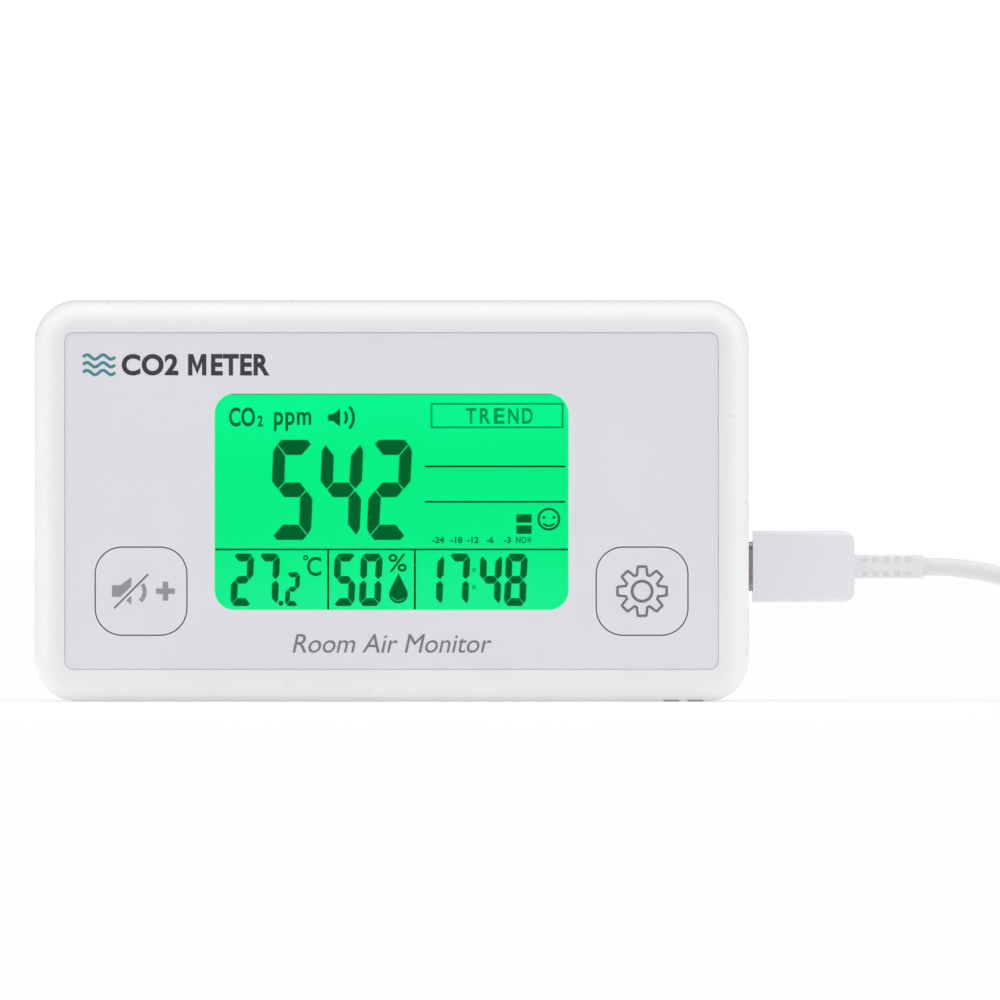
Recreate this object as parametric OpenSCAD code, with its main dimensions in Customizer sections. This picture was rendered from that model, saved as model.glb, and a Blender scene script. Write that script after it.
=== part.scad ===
// Desk-top carbon dioxide monitor with a plugged-in USB cable.
// It stands on its base: +Z up, the front faces -Y, the cable leaves towards +X.
// The origin is the centre of the case's footprint.

/* [Case] */
// Width of the case
case_w = 120; // [116:1:130]
// Height of the case
case_h = 67.5; // [66:0.5:76]
// Depth of the case, front to back
case_d = 26; // [26:0.5:32]
// Radius of the case's four corners, seen from the front
corner_r = 7.2; // [6.4:0.2:9]
// Radius of the rounded front edge
front_round = 5.2; // [4:0.2:6]
// Radius of the rounded rear edge
rear_round = 3.4; // [2.6:0.2:4]
// Thickness of the case walls
wall = 2; // [1.8:0.1:2.2]

/* [Front panel] */
// Width of the grey front panel
panel_w = 109.7; // [106:0.1:109.7]
// Height of the grey front panel
panel_h = 56.5; // [54:0.1:56.5]
// Corner radius of the panel
panel_r = 1.45; // [0.8:0.05:2]
// Thickness of the panel
panel_t = 0.6; // [0.5:0.1:0.7]
// Width of the display window
window_w = 59.4; // [56:0.2:60]
// Height of the display window
window_h = 36.3; // [34:0.1:36.4]
// Corner radius of the display window
window_r = 3.3; // [2:0.1:4]
// Height of the window's centre above the base
window_z = 33.6; // [33.4:0.1:34]

/* [Keys] */
// Width of a key cap
key_w = 15.2; // [14:0.2:15.2]
// Height of a key cap
key_h = 14.6; // [13.6:0.2:14.8]
// Corner radius of a key cap
key_r = 4.4; // [3:0.1:5]
// Gap all round a key cap
key_gap = 0.2; // [0.15:0.05:0.3]
// Distance of a key's centre from the middle of the case
key_x = 42.05; // [41.8:0.05:42.4]
// Height of a key's centre above the base
key_z = 18.6; // [18:0.1:20]

/* [USB port] */
// Height of the USB port's centre above the base
port_z = 22.7; // [21:0.1:25]

/* [Cable] */
// Diameter of the cord
cord_d = 3; // [2.8:0.1:3]
// Length of the moulded plug body at the monitor's end
plug_body_l = 17.1; // [15:0.1:17.1]
// Length of the strain relief at the monitor's end
relief_l = 11.7; // [10:0.1:11.7]

/* [Hidden] */
$fn = 64;
eps = 0.5;

// Depth stack, front to back
front_y = -case_d / 2;
back_y = case_d / 2;
parting_y = back_y - 10;
recess_d = 0.8;
panel_y = front_y + recess_d - panel_t;
window_y = front_y + recess_d;
window_t = 1;
front_wall = 2.4;
ledge_y = front_y + front_wall;
film_t = 0.2;
polarizer_y = ledge_y + 0.1;
cell_y = polarizer_y + film_t;
glass_t = 0.8;
rear_polarizer_y = cell_y + 2 * glass_t;
diffuser_y = rear_polarizer_y + film_t;
guide_y = diffuser_y + film_t;
guide_t = 2.5;
reflector_y = guide_y + guide_t;
frame_floor_y = reflector_y + film_t;
board_y = frame_floor_y + 1.2;
board_t = 1.6;
board_back = board_y + board_t;
inner_back_y = back_y - wall;

// Display stack sizes, across and up
glass_w = 62.6;
glass_h = 41;
glass_z = window_z - 0.2;
contact_h = 2;
frame_wall = 1.1;
film_w = 61.8;
film_h = 38.4;
film_z = glass_z - contact_h / 2;

// Keys and their switches
key_travel = 0.5;
flange_t = 1;
flange_rim = 1.1;
flange_gap = 0.15;
flange_y = ledge_y + flange_gap;
switch_w = 6;
switch_l = 3.5;
switch_y = board_y - switch_l;
plunger_r = 1.7;
plunger_gap = 0.08;
plunger_y = switch_y - 1;
plunger_l = 2.5;

// Fastening
boss_x = case_w / 2 - 7.5;
boss_z = [7.5, case_h - 7.5];
boss_r = 3;
boss_end_y = parting_y + 2;
screw_r = 1.3;
board_post = [[-22, 8], [22, 8], [-40, case_h - 9.5], [40, case_h - 9.5]];
board_screw_r = 0.9;
peg_r = 0.9;
peg_place = [30.6, glass_z - glass_h / 2 + 2];

// Air slots in the base and in the rear cover, and the shallow field for a rating label
base_slot_x = [47, 51.05];
base_slot_size = [2.6, 10.6];
vent_pitch = 3.4;
vent_w = 1.6;
sensor_vent_h = 16;
circuit_vent_h = 10;
circuit_vent_place = [36, 18];
sound_hole_r = 0.8;
sound_ring_r = 3.2;
label_place = [24, 45];
label_size = [44, 22];

// Main board outline
board_x0 = -case_w / 2 + 4;
board_x1 = case_w / 2 - 3;
board_z0 = 5;
board_z1 = case_h - 5.5;

// Places of the parts on the rear of the main board, across and up
buzzer_place = [-38, 18];
holder_place = [8, 19];
controller_place = [0, 44];
crystal_place = [14, 46];
capacitor_x = [28, 34.5, 41];
capacitor_z = 40;
inductor_place = [40, 27];
regulator_place = [31, 28];
humidity_place = [44.5, 8];

// USB-C socket and plug
socket_mouth_x = case_w / 2 - 1.2;
socket_l = 7.6;
socket_size = [9.1, 3.2];
socket_hole = [8.5, 2.65];
port_hole = [9.6, 3.8];
port_y = board_back + socket_size[1] / 2;
plug_size = [8.3, 2.45];
plug_x = case_w / 2 + 0.75;
plug_reach = 6.65;
plug_unplug = 12;
body_size = [12, 6.2];
relief_size = [4, 4];
relief_x = plug_x + plug_body_l;
exit_x = relief_x + relief_l;

// Gas sensor
sensor_x = -29;
sensor_z = 44;
sensor_board_y = board_back + 4;
sensor_board_t = 1;
chamber_y = sensor_board_y + sensor_board_t;
chamber_size = [24, 7, 13];
lamp_bore_r = 2.6;

// Cable: it leaves the relief level, sags to the ground and lies in a tied hank beside the monitor
tie_t = 0.8;
tie_w = 7;
hank_run = 54.5;
hank_inner_r = 9;
hank_columns = 2;
hank_layers = 3;
hank_x0 = 128;
hank_x1 = hank_x0 + hank_run;
hank_bottom = tie_t;
hank_h = hank_layers * cord_d;
hank_outer = hank_inner_r + (hank_columns - 0.5) * cord_d;
hank_hole = hank_inner_r - cord_d / 2;
lead_route = [
    [exit_x, port_y, port_z], [exit_x + 4, port_y, 22.6], [97, -1.2, 22.2], [101, -1.4, 21.5],
    [105, -2, 20.2], [109, -3, 18.4], [113, -4.5, 16.2], [117, -6, 14], [121, -7.4, 12.1],
    [125, -8.5, 10.4], [129, -9, 9.2], [133, -9, 8.5], [138, -9, 8.3]
];
tail_route = [
    [176, -12, 2.3], [182, -12, 2.3], [188, -11.6, 2.3], [193, -10.3, 2.5],
    [198, -8.3, 3.1], [203, -6.8, 3.7], [207, -6.5, 3.8]
];

// USB-A plug on the far end
far_end = tail_route[len(tail_route) - 1];
far_relief_l = 8;
far_body = [20, 15.6, 7.6];
far_shell = [12, 12, 4.5];
far_body_x = far_end.x + far_relief_l;
far_shell_x = far_body_x + far_body.x;

// ---------------------------------------------------------------- shared shapes

// Rounded rectangle plate across X and Z, t thick towards +Y from y = 0
module plate(w, h, r, t) {
    for (sx = [-1, 1])
        for (sz = [-1, 1])
            translate([sx * (w / 2 - r), 0, sz * (h / 2 - r)])
                rotate([-90, 0, 0])
                    cylinder(r = r, h = t);
    translate([-w / 2 + r, 0, -h / 2])
        cube([w - 2 * r, t, h]);
    translate([-w / 2, 0, -h / 2 + r])
        cube([w, t, h - 2 * r]);
}

// Plate with its own place: centre across and up, front face at y
module plate_at(x, y, z, w, h, r, t) {
    translate([x, y, z])
        plate(w, h, r, t);
}

// Rounded bar along +X from x = 0, size = [height, thickness], r = corner radius
module bar(size, r, l) {
    rotate([0, 0, -90])
        plate(size[1], size[0], r, l);
}

// Cylinder along +Y from y
module pin(x, y, z, r, l) {
    translate([x, y, z])
        rotate([-90, 0, 0])
            cylinder(r = r, h = l);
}

// Box across X and Z by centre, towards +Y from y
module block(x, y, z, w, l, h) {
    translate([x - w / 2, y, z - h / 2])
        cube([w, l, h]);
}

// Section through an edge: reach outward along x, depth along y, rounded at the outer front
module edge_section(reach, round_r, depth) {
    translate([0, round_r])
        square([reach, depth - round_r]);
    square([reach - round_r, depth]);
    translate([reach - round_r, round_r])
        intersection() {
            circle(r = round_r);
            translate([0, -round_r])
                square([round_r, round_r]);
        }
}

// Block with rounded corners and a rounded front edge, centred across X and Z, front at y = 0
module soft_block(w, h, d, rc, rf) {
    for (k = [0:3])
        rotate([0, 90 * k, 0]) {
            across = k % 2 == 0 ? w : h;
            up = k % 2 == 0 ? h : w;
            translate([rc - across / 2, 0, up / 2 - rc])
                rotate([90, 0, 90])
                    linear_extrude(across - 2 * rc)
                        mirror([1, -1])
                            edge_section(rc, rf, d);
            translate([across / 2 - rc, 0, up / 2 - rc])
                rotate([0, -90, 0])
                    rotate([-90, 0, 0])
                        rotate_extrude(angle = 90)
                            edge_section(rc, rf, d);
        }
    translate([rc - w / 2, 0, rc - h / 2])
        cube([w - 2 * rc, d, h - 2 * rc]);
}

// The case's outside shrunk by an offset, from its front face to a depth
module case_front(offset_in, y, depth) {
    translate([0, y, case_h / 2])
        soft_block(case_w - 2 * offset_in, case_h - 2 * offset_in, depth,
                   corner_r - offset_in, front_round - offset_in);
}

// The case's outside shrunk by an offset, from its rear face forward to a depth
module case_rear(offset_in, y, depth) {
    translate([0, y, case_h / 2])
        mirror([0, 1, 0])
            soft_block(case_w - 2 * offset_in, case_h - 2 * offset_in, depth,
                       corner_r - offset_in, rear_round - offset_in);
}

// Straight-sided case outline shrunk by an offset
module case_outline(offset_in, y, depth) {
    plate_at(0, y, case_h / 2, case_w - 2 * offset_in, case_h - 2 * offset_in,
             corner_r - offset_in, depth);
}

module at_bosses() {
    for (sx = [-1, 1])
        for (z = boss_z)
            translate([sx * boss_x, 0, z])
                children();
}

module at_board_posts() {
    for (p = board_post)
        translate([p[0], 0, p[1]])
            children();
}

// Round-ended slot along Z through +Y
module upright_slot(x, y, z, w, h, l) {
    block(x, y, z, w, l, h - w);
    pin(x, y, z + (h - w) / 2, w / 2, l);
    pin(x, y, z - (h - w) / 2, w / 2, l);
}

function unit(v) = v / norm(v);

// Closed tube swept along a route, one ring of points at each route point
module tube(route, d, sides = 8) {
    n = len(route);
    rings = [
        for (i = [0:n - 1])
            let (ahead = unit(route[min(i + 1, n - 1)] - route[max(i - 1, 0)]))
            let (side = unit(cross(ahead, [0, 0, 1])))
            let (up = cross(side, ahead))
            for (k = [0:sides - 1])
                route[i] + d / 2 * (cos(360 * k / sides) * side + sin(360 * k / sides) * up)
    ];
    walls = [
        for (i = [0:n - 2])
            for (k = [0:sides - 1])
                [i * sides + k, i * sides + (k + 1) % sides,
                 (i + 1) * sides + (k + 1) % sides, (i + 1) * sides + k]
    ];
    first = [for (k = [sides - 1:-1:0]) k];
    last = [for (k = [0:sides - 1]) (n - 1) * sides + k];
    polyhedron(rings, concat(walls, [first, last]));
}

// Stadium outline seen from above, r = radius of its round ends
module stadium(r, z, h) {
    for (x = [hank_x0, hank_x1])
        translate([x, 0, z])
            cylinder(r = r, h = h);
    translate([hank_x0, -r, z])
        cube([hank_run, 2 * r, h]);
}

// ---------------------------------------------------------------- case

module front_housing() {
    key_hole = [key_w + 2 * key_gap + 0.2, key_h + 2 * key_gap + 0.2];
    color([0.96, 0.96, 0.97])
        difference() {
            union() {
                difference() {
                    case_front(0, front_y, parting_y - front_y);
                    translate([0, 0.4, 0])
                        case_front(wall, front_y + wall, parting_y - front_y);
                }
                at_bosses()
                    pin(0, ledge_y - eps, 0, boss_r, boss_end_y - ledge_y + eps);
                at_board_posts()
                    pin(0, ledge_y - eps, 0, 2.5, board_y - ledge_y + eps);
            }
            // Shallow recess for the panel, then the window and its ledge
            plate_at(0, front_y - eps, case_h / 2, panel_w + 0.1, panel_h + 0.1, panel_r + 0.05,
                     recess_d + eps);
            plate_at(0, window_y - eps, window_z, window_w + 3.8, window_h + 3.5, 2, window_t + eps);
            plate_at(0, window_y, window_z, window_w + 0.8, window_h + 0.8, window_r, front_wall);
            for (sx = [-1, 1])
                plate_at(sx * key_x, front_y, key_z, key_hole[0], key_hole[1], key_r + 0.3,
                         front_wall + eps);
            // USB opening in the right-hand wall
            translate([case_w / 2 - wall - eps, port_y, port_z])
                bar(port_hole, 1.85, wall + 2 * eps);
            // Two air slots in the base, below the humidity sensor
            for (x = base_slot_x)
                block(x, front_y + 3.4, 0, base_slot_size[0], base_slot_size[1],
                      2 * wall + 2 * eps);
            at_bosses()
                pin(0, front_y + 6, 0, screw_r + 0.02, case_d);
            at_board_posts()
                pin(0, ledge_y + 0.6, 0, board_screw_r + 0.02, case_d);
        }
}

module rear_cover() {
    color([0.96, 0.96, 0.97])
        difference() {
            union() {
                difference() {
                    case_rear(0, back_y, back_y - parting_y);
                    case_rear(wall, inner_back_y, back_y - parting_y);
                }
                // Locating lip inside the front housing
                difference() {
                    case_outline(wall + 0.15, parting_y - 1.8, 1.8);
                    case_outline(wall + 1.15, parting_y - 2, 4.2);
                }
                difference() {
                    case_outline(wall - 0.5, parting_y, 2);
                    case_outline(wall + 1.15, parting_y - 0.2, 2.4);
                }
                at_bosses()
                    pin(0, boss_end_y, 0, 4.2, inner_back_y - boss_end_y + eps);
            }
            at_bosses() {
                pin(0, parting_y - 2, 0, boss_r + 0.2, boss_end_y - parting_y + 2);
                pin(0, boss_end_y - eps, 0, screw_r + 0.3, case_d);
                pin(0, boss_end_y + 2.5, 0, 3, case_d);
            }
            // Air slots behind the gas sensor
            for (k = [-4:4])
                upright_slot(sensor_x + k * vent_pitch, inner_back_y - eps, sensor_z,
                             vent_w, sensor_vent_h, wall + 2 * eps);
            // A few more low on the right, for the circuit's own heat
            for (k = [-2:2])
                upright_slot(circuit_vent_place[0] + k * vent_pitch, inner_back_y - eps,
                             circuit_vent_place[1], vent_w, circuit_vent_h, wall + 2 * eps);
            // Sound holes behind the buzzer
            for (k = [0:5])
                pin(buzzer_place[0] + sound_ring_r * cos(60 * k), inner_back_y - eps,
                    buzzer_place[1] + sound_ring_r * sin(60 * k), sound_hole_r, wall + 2 * eps);
            pin(buzzer_place[0], inner_back_y - eps, buzzer_place[1], sound_hole_r, wall + 2 * eps);
            // Shallow field for a rating label
            plate_at(label_place[0], back_y - 0.3, label_place[1], label_size[0], label_size[1],
                     1.5, 1);
        }
}

module case_screws() {
    head_y = boss_end_y + 2.5;
    color([0.7, 0.7, 0.72])
        at_bosses()
            difference() {
                union() {
                    pin(0, front_y + 8, 0, screw_r, head_y - front_y - 8);
                    pin(0, head_y, 0, 2.5, 1.7);
                }
                block(0, head_y + 0.7, 0, 3, 2, 0.6);
                block(0, head_y + 0.7, 0, 0.6, 2, 3);
            }
}

module front_panel() {
    color([0.86, 0.855, 0.875])
        difference() {
            plate_at(0, panel_y, case_h / 2, panel_w, panel_h, panel_r, panel_t);
            plate_at(0, panel_y - eps, window_z, window_w, window_h, window_r, panel_t + 2 * eps);
            for (sx = [-1, 1])
                plate_at(sx * key_x, panel_y - eps, key_z, key_w + 2 * key_gap,
                         key_h + 2 * key_gap, key_r + key_gap, panel_t + 2 * eps);
        }
}

module display_window() {
    color([0.8, 1, 0.9, 0.4])
        plate_at(0, window_y, window_z, window_w + 3.6, window_h + 3.3, 1.9, window_t);
}

// ---------------------------------------------------------------- display

module front_polarizer() {
    color([0.2, 0.85, 0.5])
        block(0, polarizer_y, film_z, film_w, film_t, film_h);
}

module lcd_cell() {
    color([0.02, 0.95, 0.53]) {
        block(0, cell_y, glass_z, glass_w, glass_t, glass_h);
        block(0, cell_y + glass_t, glass_z - contact_h / 2, glass_w, glass_t, glass_h - contact_h);
    }
}

module rear_polarizer() {
    color([0.3, 0.6, 0.4])
        block(0, rear_polarizer_y, film_z, film_w, film_t, film_h);
}

module diffuser_film() {
    color([0.95, 0.95, 0.95])
        block(0, diffuser_y, film_z, film_w, film_t, film_h);
}

module light_guide() {
    color([0.7, 1, 0.8])
        block(0.75, guide_y, film_z, film_w - 1.5, guide_t, film_h);
}

module reflector_film() {
    color([0.98, 0.98, 0.98])
        block(0, reflector_y, film_z, film_w, film_t, film_h);
}

module lcd_frame() {
    outer_w = glass_w + 2 * frame_wall + 0.2;
    outer_h = glass_h + 2 * frame_wall + 0.4;
    color([0.9, 0.9, 0.88]) {
        difference() {
            block(0, cell_y, glass_z, outer_w, board_y - cell_y, outer_h);
            block(0, cell_y - eps, glass_z, glass_w + 0.2, frame_floor_y - cell_y + eps,
                  glass_h + 0.4);
            block(0, frame_floor_y - eps, film_z, 44, 3, 24);
            block(0, frame_floor_y - eps, glass_z + glass_h / 2 - contact_h / 2, 60, 3, contact_h);
        }
        for (sx = [-1, 1])
            pin(sx * peg_place[0], board_y - 0.4, peg_place[1], peg_r, board_t + 1);
    }
}

module backlight_leds() {
    led_x = -film_w / 2 + 0.6;
    color([0.95, 0.9, 0.6])
        for (z = [-12, 0, 12])
            block(led_x, guide_y + 0.4, film_z + z, 1.1, 1.7, 4);
}

module contact_strip() {
    strip_y = cell_y + glass_t;
    color([0.25, 0.25, 0.27])
        block(0, strip_y, glass_z + glass_h / 2 - contact_h / 2, 58, board_y - strip_y, 1.6);
}

// ---------------------------------------------------------------- keys

module key(x) {
    color([0.86, 0.855, 0.875]) {
        plate_at(x, panel_y, key_z, key_w, key_h, key_r, flange_y - panel_y + 0.2);
        plate_at(x, flange_y, key_z, key_w + 2 * flange_rim, key_h + 2 * flange_rim, key_r + 0.6,
                 flange_t);
        pin(x, flange_y + flange_t - 0.2, key_z, 2.5, plunger_y - flange_y - flange_t + 0.2);
    }
}

module plunger(x) {
    color([0.15, 0.15, 0.16])
        pin(x, plunger_y, key_z, plunger_r, plunger_l);
}

module mute_key() {
    key(-key_x);
}

module settings_key() {
    key(key_x);
}

module mute_switch_plunger() {
    plunger(-key_x);
}

module settings_switch_plunger() {
    plunger(key_x);
}

module switch_bodies() {
    color([0.75, 0.75, 0.77])
        for (sx = [-1, 1])
            difference() {
                block(sx * key_x, switch_y, key_z, switch_w, switch_l, switch_w);
                pin(sx * key_x, switch_y - eps, key_z, plunger_r + plunger_gap,
                    plunger_l - 1 + key_travel + 0.3 + eps);
            }
}

// ---------------------------------------------------------------- circuit

// Soldered part on the rear of the main board, place = across and up
module on_board(place, w, l, h) {
    block(place.x, board_back, place.y, w, l, h);
}

// The same for a round part
module can_on_board(place, r, l) {
    pin(place.x, board_back, place.y, r, l);
}

module main_board() {
    notch = 11.4;
    color([0.05, 0.35, 0.18])
        difference() {
            translate([board_x0, board_y, board_z0])
                cube([board_x1 - board_x0, board_t, board_z1 - board_z0]);
            for (sx = [-1, 1])
                for (z = [0, case_h])
                    block(sx * case_w / 2, board_y - eps, z, 2 * notch, 3, 2 * notch);
            at_board_posts()
                pin(0, board_y - eps, 0, 1.1, 3);
            for (sx = [-1, 1])
                pin(sx * peg_place[0], board_y - eps, peg_place[1], peg_r + 0.1, 3);
        }
}

module board_screws() {
    color([0.7, 0.7, 0.72])
        at_board_posts()
            difference() {
                union() {
                    pin(0, ledge_y + 1.2, 0, board_screw_r, board_back - ledge_y - 1.2);
                    pin(0, board_back, 0, 1.9, 1.2);
                }
                block(0, board_back + 0.6, 0, 2.4, 2, 0.45);
                block(0, board_back + 0.6, 0, 0.45, 2, 2.4);
            }
}

module microcontroller() {
    color([0.12, 0.12, 0.13]) {
        on_board(controller_place, 10, 1.4, 10);
        for (k = [-5:5]) {
            on_board(controller_place + [0.8 * k, 0], 0.35, 0.4, 12);
            on_board(controller_place + [0, 0.8 * k], 12, 0.4, 0.35);
        }
    }
}

module clock_crystal() {
    color([0.75, 0.75, 0.77])
        plate_at(crystal_place.x, board_back, crystal_place.y, 11, 4.6, 2.25, 3.5);
}

module capacitors() {
    color([0.8, 0.8, 0.82])
        for (x = capacitor_x)
            can_on_board([x, capacitor_z], 2.5, 5.4);
}

module power_inductor() {
    color([0.2, 0.2, 0.21])
        plate_at(inductor_place.x, board_back, inductor_place.y, 6, 6, 1.2, 2.8);
}

module voltage_regulator() {
    color([0.13, 0.13, 0.14]) {
        on_board(regulator_place, 6.5, 1.7, 3.5);
        on_board(regulator_place + [0, 2.4], 3, 0.5, 2);
        for (k = [-1:1])
            on_board(regulator_place + [2.3 * k, -2.2], 0.8, 0.5, 1.4);
    }
}

module buzzer() {
    color([0.1, 0.1, 0.11])
        difference() {
            can_on_board(buzzer_place, 6, 6.5);
            pin(buzzer_place[0], board_back + 4, buzzer_place[1], 1.1, 5);
        }
}

module usb_socket_shell() {
    translate([socket_mouth_x - socket_l, port_y, port_z])
        color([0.75, 0.74, 0.74])
            difference() {
                bar(socket_size, socket_size[1] / 2 - 0.01, socket_l);
                translate([0.6, 0, 0])
                    bar(socket_hole, socket_hole[1] / 2 - 0.01, socket_l);
            }
}

module usb_socket_tongue() {
    tongue_x = socket_mouth_x - socket_l + 0.6;
    color([0.1, 0.1, 0.11])
        translate([tongue_x, port_y - 0.35, port_z - 3.3])
            cube([5.2, 0.7, 6.6]);
}

module cell_holder() {
    color([0.12, 0.12, 0.13])
        difference() {
            can_on_board(holder_place, 11.3, 3.4);
            pin(holder_place[0], board_back + 0.6, holder_place[1], 10.15, 4);
            block(holder_place[0], board_back + 0.6, holder_place[1] - 11, 8, 4, 6);
        }
}

module cell_contact() {
    cell_top = board_back + 0.6 + 3.2;
    color([0.78, 0.77, 0.74]) {
        block(holder_place[0], cell_top, holder_place[1] + 3.5, 4, 0.3, 17);
        block(holder_place[0], board_back, holder_place[1] + 11.8, 4, cell_top + 0.3 - board_back, 0.4);
    }
}

module backup_cell() {
    color([0.8, 0.8, 0.8]) {
        pin(holder_place[0], board_back + 0.6, holder_place[1], 8.6, 0.6);
        pin(holder_place[0], board_back + 1.2, holder_place[1], 10, 2.6);
    }
}

// ---------------------------------------------------------------- gas sensing

module sensor_board() {
    color([0.05, 0.2, 0.4])
        block(sensor_x, sensor_board_y, sensor_z, 33, sensor_board_t, 20);
}

module sensor_chamber() {
    color([0.85, 0.7, 0.35])
        difference() {
            block(sensor_x, chamber_y, sensor_z, chamber_size.x, chamber_size.y, chamber_size.z);
            translate([sensor_x - chamber_size.x / 2 - eps, chamber_y + 3.5, sensor_z])
                rotate([0, 90, 0])
                    cylinder(r = lamp_bore_r, h = chamber_size.x + 2 * eps);
            for (sx = [-1, 1])
                block(sensor_x + 6 * sx, chamber_y + 4, sensor_z, 7, 4, 3);
        }
}

// Round can lying along X in the chamber's bore
module bore_can(x, l) {
    translate([x, chamber_y + 3.5, sensor_z])
        rotate([0, 90, 0])
            cylinder(r = lamp_bore_r - 0.05, h = l);
}

module infrared_lamp() {
    color([0.9, 0.9, 0.92])
        bore_can(sensor_x - chamber_size.x / 2, 2);
}

module infrared_detector() {
    color([0.7, 0.7, 0.72])
        bore_can(sensor_x + chamber_size.x / 2 - 2.2, 2.2);
}

module dust_filter() {
    color([0.97, 0.97, 0.97])
        block(sensor_x, chamber_y + chamber_size.y, sensor_z, 21, 0.3, 6);
}

module sensor_header() {
    color([0.1, 0.1, 0.1])
        block(sensor_x - 14.5, board_back, sensor_z, 2.5, sensor_board_y - board_back, 12.7);
}

module sensor_standoffs() {
    color([0.9, 0.9, 0.9])
        for (sz = [-1, 1])
            pin(sensor_x + 13.5, board_back, sensor_z + 7 * sz, 2, sensor_board_y - board_back);
}

module humidity_sensor() {
    color([0.15, 0.15, 0.16])
        difference() {
            on_board(humidity_place, 3, 1.1, 3);
            pin(humidity_place.x, board_back + 0.6, humidity_place.y, 0.6, 2);
        }
}

// ---------------------------------------------------------------- cable

module plug_shell() {
    translate([plug_x - plug_reach, port_y, port_z])
        color([0.72, 0.7, 0.7])
            difference() {
                bar(plug_size, plug_size[1] / 2 - 0.01, plug_reach);
                translate([-eps, 0, 0])
                    bar([plug_size[0] - 0.5, plug_size[1] - 0.5], 0.96, plug_reach + 2 * eps);
            }
}

module plug_insert() {
    translate([plug_x - plug_reach, port_y, port_z])
        color([0.1, 0.1, 0.11])
            difference() {
                translate([0.2, 0, 0])
                    bar([plug_size[0] - 0.5, plug_size[1] - 0.5], 0.96, plug_reach - 0.2);
                translate([-eps, -0.45, -3.4])
                    cube([eps + 4.6, 0.9, 6.8]);
            }
}

module plug_body() {
    translate([plug_x, port_y, port_z])
        color([0.93, 0.93, 0.95])
            intersection() {
                bar(body_size, 0.9, plug_body_l);
                union() {
                    translate([-eps, -5, -body_size[0]])
                        cube([plug_body_l - 2 + eps, 10, 2 * body_size[0]]);
                    translate([-eps, -5, -body_size[0] / 2 + 2])
                        cube([plug_body_l + 2 * eps, 10, body_size[0] - 4]);
                    for (sz = [-1, 1])
                        translate([plug_body_l - 2, -5, sz * (body_size[0] / 2 - 2)])
                            rotate([-90, 0, 0])
                                cylinder(r = 2, h = 10);
                }
            }
}

module strain_relief() {
    dimple_pitch = 1.85;
    translate([relief_x, port_y, port_z])
        color([0.94, 0.94, 0.95])
            difference() {
                bar(relief_size, 0.9, relief_l);
                for (k = [0:4])
                    for (sz = [-1, 1])
                        translate([1.6 + dimple_pitch * k, -relief_size[1] / 2 - 0.5, sz * 1.2])
                            rotate([-90, 0, 0])
                                cylinder(r = 0.55, h = 0.8);
            }
}

module cable_lead() {
    color([0.9, 0.89, 0.88])
        tube(lead_route, cord_d);
}

module cable_hank() {
    color([0.9, 0.89, 0.88])
        difference() {
            stadium(hank_outer, hank_bottom, hank_h);
            stadium(hank_hole, hank_bottom - eps, hank_h + 2 * eps);
        }
}

module hank_tie() {
    middle = (hank_x0 + hank_x1) / 2;
    color([0.3, 0.3, 0.32])
        difference() {
            translate([middle - tie_w / 2, -hank_outer - tie_t, 0])
                cube([tie_w, 2 * hank_outer + 2 * tie_t, hank_h + 2 * tie_t]);
            translate([middle - tie_w, -hank_outer, tie_t])
                cube([2 * tie_w, 2 * hank_outer, hank_h]);
        }
}

module cable_tail() {
    color([0.9, 0.89, 0.88])
        tube(tail_route, cord_d);
}

module usb_a_relief() {
    color([0.93, 0.93, 0.95])
        translate([far_end.x, far_end.y, far_end.z])
            rotate([0, 90, 0])
                cylinder(r1 = cord_d / 2 + 0.4, r2 = cord_d / 2 + 1.3, h = far_relief_l);
}

module usb_a_body() {
    color([0.93, 0.93, 0.95])
        translate([far_body_x, far_end.y, far_end.z])
            rotate([90, 0, 0])
                bar([far_body.y, far_body.z], 1.4, far_body.x);
}

module usb_a_shell() {
    wall_t = 0.3;
    color([0.75, 0.75, 0.77])
        difference() {
            translate([far_shell_x, far_end.y - far_shell.y / 2, far_end.z - far_shell.z / 2])
                cube(far_shell);
            translate([far_shell_x - eps, far_end.y - far_shell.y / 2 + wall_t,
                       far_end.z - far_shell.z / 2 + wall_t])
                cube([far_shell.x + 2 * eps, far_shell.y - 2 * wall_t, far_shell.z - 2 * wall_t]);
            for (sy = [-1, 1])
                translate([far_shell_x + 5.2, far_end.y + 2.5 * sy - 1.1, 0])
                    cube([2.4, 2.2, 20]);
        }
}

module usb_a_insulator() {
    color([0.93, 0.93, 0.93])
        translate([far_shell_x, far_end.y - far_shell.y / 2 + 0.3, far_end.z - far_shell.z / 2 + 0.3])
            cube([far_shell.x - 0.4, far_shell.y - 0.6, 1.9]);
}

front_housing();
rear_cover();
case_screws();
front_panel();
display_window();
front_polarizer();
lcd_cell();
rear_polarizer();
diffuser_film();
light_guide();
reflector_film();
lcd_frame();
backlight_leds();
contact_strip();
mute_key();
mute_switch_plunger();
settings_key();
settings_switch_plunger();
switch_bodies();
main_board();
board_screws();
microcontroller();
clock_crystal();
capacitors();
power_inductor();
voltage_regulator();
buzzer();
usb_socket_shell();
usb_socket_tongue();
cell_holder();
cell_contact();
backup_cell();
sensor_board();
sensor_chamber();
infrared_lamp();
infrared_detector();
dust_filter();
sensor_header();
sensor_standoffs();
humidity_sensor();
plug_shell();
plug_insert();
plug_body();
strain_relief();
cable_lead();
cable_hank();
hank_tie();
cable_tail();
usb_a_shell();
usb_a_insulator();
usb_a_body();
usb_a_relief();
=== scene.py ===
"""Looks of a desk-top carbon dioxide monitor with its USB cable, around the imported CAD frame."""

import math

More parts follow.
